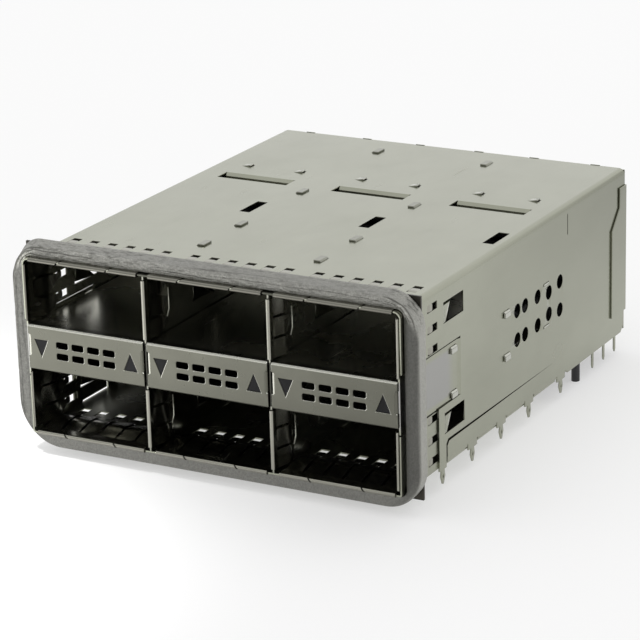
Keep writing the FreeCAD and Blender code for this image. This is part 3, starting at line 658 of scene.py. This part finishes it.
def hermite(knots):
    """Smooth curve through (place, value, slope) knots."""
    points = []
    for (p0, v0, m0), (p1, v1, m1) in zip(knots, knots[1:]):
        run = p1 - p0
        for step in range(curve_steps):
            t = step / curve_steps
            value = ((2 * t**3 - 3 * t**2 + 1) * v0 + (t**3 - 2 * t**2 + t) * run * m0
                     + (3 * t**2 - 2 * t**3) * v1 + (t**3 - t**2) * run * m1)
            points.append((p0 + run * t, value))
    points.append(knots[-1][:2])
    return points


def bezier(a, b, c, steps):
    """Points of a rounded corner at b between a and c, both ends left out."""
    points = []
    for step in range(1, steps):
        t = step / steps
        points.append(a * (1 - t)**2 + b * 2 * t * (1 - t) + c * t**2)
    return points


def lying(u, w, cross):
    """Point of a strip on the roof or floor, from its way back, its height and its place across."""
    return (cross, front_rim + u, w)


def upright(u, w, cross):
    """Point of a strip on a wall or divider, from its place across, its way back and its height."""
    return (u, front_rim + w, cross)


def strip(verts, faces, path, edges, put):
    """Adds a bent sheet along a path of (u, w), with the (low, high) cross edges at each point."""
    start = len(verts)
    count = len(path)
    half = strip_sheet / 2
    for index, (u, w) in enumerate(path):
        before = path[max(index - 1, 0)]
        after = path[min(index + 1, count - 1)]
        run = Vector((after[0] - before[0], after[1] - before[1])).normalized()
        off = (-run.y * half, run.x * half)
        low, high = edges[index]
        for side, cross in ((1, low), (1, high), (-1, high), (-1, low)):
            verts.append(put(u + side * off[0], w + side * off[1], cross))
    for index in range(count - 1):
        a = start + 4 * index
        for k in range(4):
            n = (k + 1) % 4
            faces.append((a + k, a + n, a + 4 + n, a + 4 + k))
    last = start + 4 * (count - 1)
    faces.append((start, start + 1, start + 2, start + 3))
    faces.append((last + 3, last + 2, last + 1, last))


def finger_edges(path, middle, peak, narrowed, tip, tip_half):
    """Edges of a finger that is straight to its peak, narrows behind it and has a round tip."""
    edges = []
    for y, _ in path:
        share = min(max((y - peak) / (narrowed - peak), 0.0), 1.0)
        half = finger_half + (tip_half - finger_half) * share
        if y > tip - tip_round:
            fall = (y - tip + tip_round) / tip_round
            half -= tip_round * (1 - math.sqrt(max(1 - fall**2, 0.0)))
        edges.append((middle - half, middle + half))
    return edges


def hole_finger(base, middle, kind):
    """Heights and edges of a finger with a smooth rise, a rounded crest and a tip that lies in its hole."""
    neck, tip, dip = kind["neck"], kind["tip"], kind["dip"]
    path = hermite([(finger_root, base, root_slope), (finger_peak, base + finger_bow, 0.0),
                    (neck, neck_height, neck_slope), (neck + kind["fall"], dip + dip_ease, neck_slope),
                    (tip - tip_round, dip, 0.0), (tip, dip, 0.0)])
    return path, finger_edges(path, middle, finger_peak, kind["narrowed"], tip, kind["half"])


def add_strip_piece(node_name, verts, faces):
    """Spring strip that takes the place of its node."""
    add_piece(node_name + "_strip", verts, faces, spring_look, node_name, strip_crease)


def rim_strip(name, centre, face, outer, way):
    """Spring strip folded round over the front edge of the roof or floor, cut in three at the lip."""
    verts = []
    faces = []
    base = leg_gap + strip_sheet / 2
    outer_leg = outer - way * (lip_gap + strip_sheet / 2)
    inner_leg = face + way * base
    radius = abs(inner_leg - outer_leg) / 2
    bend_centre = (radius + strip_sheet / 2, (inner_leg + outer_leg) / 2)
    path = [(finger_root, outer_leg), (outer_leg_start, outer_leg)]
    path += arc(bend_centre, radius, -90 * way, -90 * way - 180 * way, rim_bend_steps)
    path += [(inner_leg_start, inner_leg), (finger_root, inner_leg)]
    cuts = [-strip_half, -strip_cut, strip_cut, strip_half]
    for left, right in zip(cuts, cuts[1:]):
        edges = []
        for index in range(len(path)):
            turn = min(max((index - 1) / (rim_bend_steps + 1), 0.0), 1.0)
            lean = cut_lean - 2 * cut_lean * turn
            gap = cut_gap - cut_gap_loss * turn if index < rim_bend_steps + 2 else leg_cut_gap
            low = centre + left + (lean + gap if left > -strip_half else 0.0)
            high = centre + right + (lean - gap if right < strip_half else 0.0)
            edges.append((low, high))
        strip(verts, faces, path, edges, lying)
    for step in range(-5, 6, 2):
        rise, edges = hole_finger(base, centre + step * finger_pitch / 2, rim_finger)
        strip(verts, faces, [(y, face + way * h) for y, h in rise], edges, lying)
    add_strip_piece(name, verts, faces)


def side_strip(name, side, inner, floor, drop):
    """Spring strip with a rounded hem beside the front edge of a side wall, with three fingers inside."""
    verts = []
    faces = []
    outer_leg = inner - hem_gap - strip_sheet / 2
    plane = outer_leg - 2 * hem_radius
    bend_centre = (outer_leg - hem_radius, hem_radius + strip_sheet / 2)
    bend = arc(bend_centre, hem_radius, 0, -180, hem_bend_steps)
    path = [(outer_leg, hem_outer_start)] + bend + [(plane, hem_leg_start), (plane, finger_root)]
    low = floor + side_end_gap
    high = floor + port_height - side_end_gap
    edges = []
    for _, w in path:
        lift = hem_lift * max(1 - w / hem_reach, 0.0)**2
        edges.append((low + lift, high - lift))
    strip(verts, faces, [(side * u, w) for u, w in path], edges, upright)
    for step in (-1, 0, 1):
        middle = floor + port_height / 2 - drop + step * finger_pitch
        rise, edges = hole_finger(inner - plane, middle, side_finger)
        strip(verts, faces, [(side * (inner - h), y) for y, h in rise], edges, upright)
    add_strip_piece(name, verts, faces)


def divider_clip(name, x, floor):
    """Spring clip folded round over a divider's front edge, with three fingers on each side."""
    verts = []
    faces = []
    base = clip_gap + strip_sheet / 2
    half = sheet / 2 + base
    bend = arc((x, half + strip_sheet / 2), half, 0, -180, clip_bend_steps)
    path = [(x + half, clip_root)] + bend + [(x - half, clip_root)]
    ends = (floor + side_end_gap, floor + port_height - side_end_gap)
    strip(verts, faces, path, [ends] * len(path), upright)
    rise = hermite([(clip_root, base, root_slope), (clip_peak, base + finger_bow, 0.0),
                    (clip_neck, clip_neck_height, neck_slope), (clip_tip, strip_sheet / 2 + lip_gap, 0.0)])
    for way in (-1, 1):
        for step in (-1, 0, 1):
            middle = floor + port_height / 2 + step * finger_pitch
            strip(verts, faces, [(x + way * (sheet / 2 + h), y) for y, h in rise],
                  finger_edges(rise, middle, clip_peak, clip_tip, clip_tip, clip_tip_half), upright)
    add_strip_piece(name, verts, faces)


def bent_tab(name, centre, side, look):
    """End of a separator's front that is bent back in its notch."""
    verts = []
    faces = []
    edge = centre + side * (separator_half - tab_inner)
    bend = arc((tab_flat, strip_sheet / 2 + tab_bend), tab_bend, -90, 0, tab_bend_steps)
    path = [(0.0, strip_sheet / 2)] + bend + [(tab_bend + tab_flat, tab_end)]
    ends = (web_middle - tab_low, web_middle + tab_high)
    strip(verts, faces, [(edge + side * u, w) for u, w in path], [ends] * len(path), upright)
    add_piece(name, verts, faces, look, None, strip_crease)


def latch_face(name, side, floor):
    """Outer face of a latch tab: level with the wall at its root, creased and bent in behind."""
    middle = floor + port_height / 2
    low, high = middle - side * latch_below, middle + side * latch_above
    verts = []
    shine = []
    for layer in (0.0, latch_sheet):
        for row in range(latch_rows + 1):
            t = row / latch_rows
            length = latch_short + latch_growth * t
            along = smooth_step(0.25, 0.5, t) * smooth_step(1.0, 0.8, t)
            for column in range(latch_columns + 1):
                u = length * column / latch_columns
                past = (u - crease_share * length) / crease_soft
                bent = crease_soft * math.log1p(math.exp(past))
                depth = latch_sink + latch_slope * u + latch_bend * bent + layer
                verts.append((side * (wall_out - depth), front_rim + latch_start + u, low + (high - low) * t))
                # Painted highlight along the crease, strongest in the middle rows
                shine.append(shine_level * math.exp(-(past / shine_width)**2) * along)
    width = latch_columns + 1
    size = (latch_rows + 1) * width
    faces = []
    for row in range(latch_rows):
        for column in range(latch_columns):
            a = row * width + column
            faces.append((a, a + 1, a + 1 + width, a + width))
            faces.append((size + a, size + a + width, size + a + 1 + width, size + a + 1))
    border = list(range(latch_columns))
    border += [row * width + latch_columns for row in range(latch_rows)]
    border += [latch_rows * width + k for k in range(latch_columns, 0, -1)]
    border += [row * width for row in range(latch_rows, 0, -1)]
    for a, b in zip(border, border[1:] + border[:1]):
        faces.append((b, a, size + a, size + b))
    made = add_piece(name, verts, faces, latch_look, None, latch_crease)
    keep_values(made, "shine", shine)


def rounded_loop(left, right, bottom, top, radii):
    """Closed outline from the upper left corner on, clockwise; the radii run the same way."""
    upper_left, upper_right, lower_right, lower_left = radii
    corners = [((left + upper_left, top - upper_left), upper_left, 180, 90),
               ((right - upper_right, top - upper_right), upper_right, 90, 0),
               ((right - lower_right, bottom + lower_right), lower_right, 0, -90),
               ((left + lower_left, bottom + lower_left), lower_left, -90, -180)]
    arcs = [arc(*corner, gasket_corner_steps) for corner in corners]
    points = []
    for index, turned in enumerate(arcs):
        points += turned
        here = turned[-1]
        there = arcs[(index + 1) % 4][0]
        steps = gasket_side_steps[index]
        for step in range(1, steps):
            t = step / steps
            points.append((here[0] + (there[0] - here[0]) * t, here[1] + (there[1] - here[1]) * t))
    return [Vector(point) for point in points]


def gasket_section(inner, edge, rear):
    """Section of the ring as (point, place across, turn); the front lies at 0 to 1, the flank at 1 to 2."""
    a = Vector((inner.x, gasket_back, inner.y))
    b = Vector((inner.x, gasket_front, inner.y))
    c = Vector((edge.x, gasket_front, edge.y))
    d = Vector((rear.x, gasket_back, rear.y))
    back = Vector((0, 1, 0))
    across = (c - b).normalized()
    along = (d - c).normalized()
    width = (c - b).length
    section = [(a, 0.0, 0.0), (b + back * gasket_lining, 0.0, 0.0)]
    begin = b + across * inner_round
    stop = c - across * outer_round
    over = c + along * outer_round
    tail = d - along * rear_round
    section += [(p, 0.0, 0.0) for p in bezier(b + back * inner_round, b, begin, inner_round_steps)]
    for step in range(front_steps + 1):
        t = step / front_steps
        place = (inner_round + (width - inner_round - outer_round) * t) / width
        section.append((begin.lerp(stop, t), place, 0.0))
    for step, p in enumerate(bezier(stop, c, over, outer_round_steps), 1):
        t = step / outer_round_steps
        section.append((p, 1.0 - outer_round / width * (1 - t), t))
    for step in range(flank_steps + 1):
        t = step / flank_steps
        section.append((over.lerp(tail, t), 1.0 + t, 1.0))
    section += [(p, 2.0, 1.0) for p in bezier(tail, d, d - across * rear_round, rear_round_steps)]
    section.append((d - across * gasket_tuck, 2.0, 1.0))
    return section


def cloth_creases(walked, place, strength, corner):
    """Push in mm of the cloth's creases and the painted shade in them, at a way along the ring and a place
    across it.
    """
    push = 0.0
    fold = 0.0
    for number, (middle, deep, wide) in enumerate(long_creases):
        wander = 0.30 * field.noise(Vector((walked * 0.11, 7.3 * number, 0.4)))
        wander += 0.07 * field.noise(Vector((walked * 0.45, 3.1 * number, 1.7)))
        chance = field.noise(Vector((walked * 0.055, 2.9 * number, 5.2))) + 0.25 * corner
        gate = strength * smooth_step(-0.12, 0.22, chance)
        off = place - middle - wander
        near = math.exp(-(off / wide)**2)
        ridge = math.exp(-((off - 2.0 * wide) / (1.4 * wide))**2)
        push += deep * gate * (0.35 * ridge - near)
        fold += 1.3 * gate * near
    for along, across, deep, seed in wrinkles:
        level = field.noise(Vector((walked * along, place * across, seed)))
        level += 0.25 * field.noise(Vector((walked * 0.9, place * 5.0, seed + 3.0)))
        valley = strength * max(1.0 - abs(level) / 0.045, 0.0)
        push -= deep * valley
        fold += 0.8 * valley
    push += 0.03 * (0.1 + strength) * field.noise(Vector((walked * 0.8, place * 4.0, 0.0)))
    return push, fold


def gasket_piece():
    """Conductive fabric wrapped round a foam ring: flat front, rounded edges and lengthwise creases."""
    inner = rounded_loop(*gasket_inner)
    edge = rounded_loop(*gasket_edge)
    rear = rounded_loop(*gasket_rear)
    count = len(inner)
    verts = []
    folds = []
    tones = []
    crumples = []
    walked = 0.0
    for index in range(count):
        if index:
            walked += (edge[index] - edge[index - 1]).length
        run = edge[(index + 1) % count] - edge[index - 1]
        out = Vector((-run.y, run.x)).normalized()
        sides = [max(way, 0.0) for way in (out.y, -out.x, out.x, -out.y)]
        upper, left, right, _ = sides
        corner = 4 * upper * max(left, right) * smooth_step(0.0, 0.4, upper)
        rough = sum(part * value for part, value in zip(sides, side_rough)) + 0.3 * corner
        calm = 0.36 * upper * (1 - min(corner, 1.0)) * smooth_step(-12.0, 8.0, edge[index].x)
        # Tone of the cloth is painted light and shade: lighter on top and in the upper corners, darker on the
        # right
        tone = sum(part * value for part, value in zip(sides, side_painted_light)) / sum(sides) + 0.75 * corner
        # Flanks are lighter, most on the right: painted sheen
        flank_painted_light = 1.05 + 0.35 * right
        for point, place, bend in gasket_section(inner[index], edge[index], rear[index]):
            push = 0.0
            fold = 0.0
            if 0.0 < place < 2.0:
                push, fold = cloth_creases(walked, place, rough - calm, corner)
                push *= smooth_step(0.02, 0.16, place) * smooth_step(2.0, 1.8, place)
                if place <= 1.0:
                    push += gasket_swell * math.sin(math.pi * place)
            way = Vector((out.x * bend, bend - 1, out.y * bend)).normalized()
            point = point + way * push
            verts.append((point.x, front_rim + point.y, point.z))
            folds.append(min(fold, 1.0))
            tones.append(tone + (flank_painted_light - tone) * bend)
            crumples.append(min(rough, 0.75) * (1 - 0.7 * bend))
    ring = len(verts) // count
    faces = []
    for index in range(count):
        here = index * ring
        there = (index + 1) % count * ring
        for k in range(ring):
            n = (k + 1) % ring
            faces.append((here + k, here + n, there + n, there + k))
    made = add_piece("gasket_cloth", verts, faces, cloth_look, "gasket", cloth_crease)
    keep_values(made, "fold", folds)
    keep_values(made, "tone", tones)
    keep_values(made, "crumple", crumples)


for number, centre in enumerate(column_centres, 1):
    rim_strip("spring_top_%d" % number, centre, roof_in, roof_out, -1)
    rim_strip("spring_bottom_%d" % number, centre, plate_top, plate_under, 1)
for level, floor in port_floors.items():
    inner, drop = (cheek_in, cheek_drop) if level == "lower" else (wall_in, 0.0)
    side_strip("spring_left_" + level, -1, inner, floor, drop)
    side_strip("spring_right_" + level, 1, inner, floor, drop)
    for number, x in enumerate(divider_places, 1):
        divider_clip("spring_divider_%d_%s" % (number, level), x, floor)
for number, centre in enumerate(column_centres, 1):
    # The left tabs take the lighter copy of the separator metal, painted light on the side that faces the lit
    # floor
    bent_tab("separator_tab_left_%d" % number, centre, -1, tab_painted_light_look)
    bent_tab("separator_tab_right_%d" % number, centre, 1, separator_look)
gasket_piece()
for level, floor in port_floors.items():
    latch_face("latch_left_" + level, -1, floor)
    latch_face("latch_right_" + level, 1, floor)


def add_floor(height):
    """Floor, white by its colour and a glow, that keeps the shadow and is see-through from below."""
    reach = floor_reach
    mesh = bpy.data.meshes.new("floor")
    corners = [(-reach, -reach), (reach, -reach), (reach, reach), (-reach, reach)]
    mesh.from_pydata([(x, y, height) for x, y in corners], [], [(0, 1, 2, 3)])
    floor = bpy.data.objects.new("floor", mesh)
    scene.collection.objects.link(floor)
    white, tree, shader = new_material("floor_white")
    shader.inputs["Base Color"].default_value = (floor_grey, floor_grey, floor_grey, 1)
    shader.inputs["Roughness"].default_value = 0.9
    shader.inputs["Specular IOR Level"].default_value = 0.0
    shader.inputs["Emission Color"].default_value = (1.0, 1.0, 1.0, 1)
    shader.inputs["Emission Strength"].default_value = floor_glow
    below = node(tree, "ShaderNodeNewGeometry")
    clear = node(tree, "ShaderNodeBsdfTransparent")
    either = node(tree, "ShaderNodeMixShader")
    tree.links.new(below.outputs["Backfacing"], either.inputs[0])
    tree.links.new(shader.outputs["BSDF"], either.inputs[1])
    tree.links.new(clear.outputs["BSDF"], either.inputs[2])
    out = next(n for n in tree.nodes if n.type == "OUTPUT_MATERIAL")
    tree.links.new(either.outputs["Shader"], out.inputs["Surface"])
    mesh.materials.append(white)


def add_sky():
    """Plain studio sky, brightest high at the back on the left."""
    world = bpy.data.worlds.new("studio")
    scene.world = world
    world.use_nodes = True
    tree = world.node_tree
    tree.nodes.clear()
    out = node(tree, "ShaderNodeOutputWorld")
    back = node(tree, "ShaderNodeBackground")
    tree.links.new(back.outputs["Background"], out.inputs["Surface"])
    coords = node(tree, "ShaderNodeTexCoord")
    lean = node(tree, "ShaderNodeVectorMath", operation="DOT_PRODUCT")
    tree.links.new(coords.outputs["Generated"], lean.inputs[0])
    lean.inputs[1].default_value = sky_bright_way
    strength = spread(tree, lean.outputs["Value"], -0.6, 0.8, *sky_strength)
    tree.links.new(strength, back.inputs["Strength"])


def add_pool(height):
    """Pool of light on the floor in front on the left, which the front faces mirror."""
    pool = bpy.data.lights.new("pool", "SPOT")
    pool.energy = pool_power
    pool.spot_size = math.radians(pool_cone)
    pool.spot_blend = 1.0
    pool.shadow_soft_size = 0.03
    lamp = bpy.data.objects.new("pool", pool)
    lamp.location = pool_place
    target = Vector((*pool_aim, height))
    lamp.rotation_euler = (target - lamp.location).to_track_quat("-Z", "Y").to_euler()
    scene.collection.objects.link(lamp)


def add_camera():
    """Camera of the photograph."""
    place = Vector(camera_place) * MM
    azimuth, elevation, roll = (math.radians(angle) for angle in camera_angles)
    level = math.cos(elevation)
    back = Vector((math.sin(azimuth) * level, -math.cos(azimuth) * level, math.sin(elevation)))
    right = Vector((0, 0, 1)).cross(back).normalized()
    up = back.cross(right)
    turned_right = right * math.cos(roll) + up * math.sin(roll)
    turned_up = up * math.cos(roll) - right * math.sin(roll)
    camera = bpy.data.objects.new("camera", bpy.data.cameras.new("camera"))
    camera.data.sensor_width = 36.0
    camera.data.lens = camera_lens
    camera.data.clip_start = 0.01
    turned = Matrix((turned_right, turned_up, back)).transposed().to_4x4()
    camera.matrix_world = Matrix.Translation(place) @ turned
    scene.collection.objects.link(camera)
    scene.camera = camera


floor_z = cad_box[0].z
add_floor(floor_z)
add_sky()
add_pool(floor_z)
add_camera()
scene.view_settings.view_transform = "Standard"
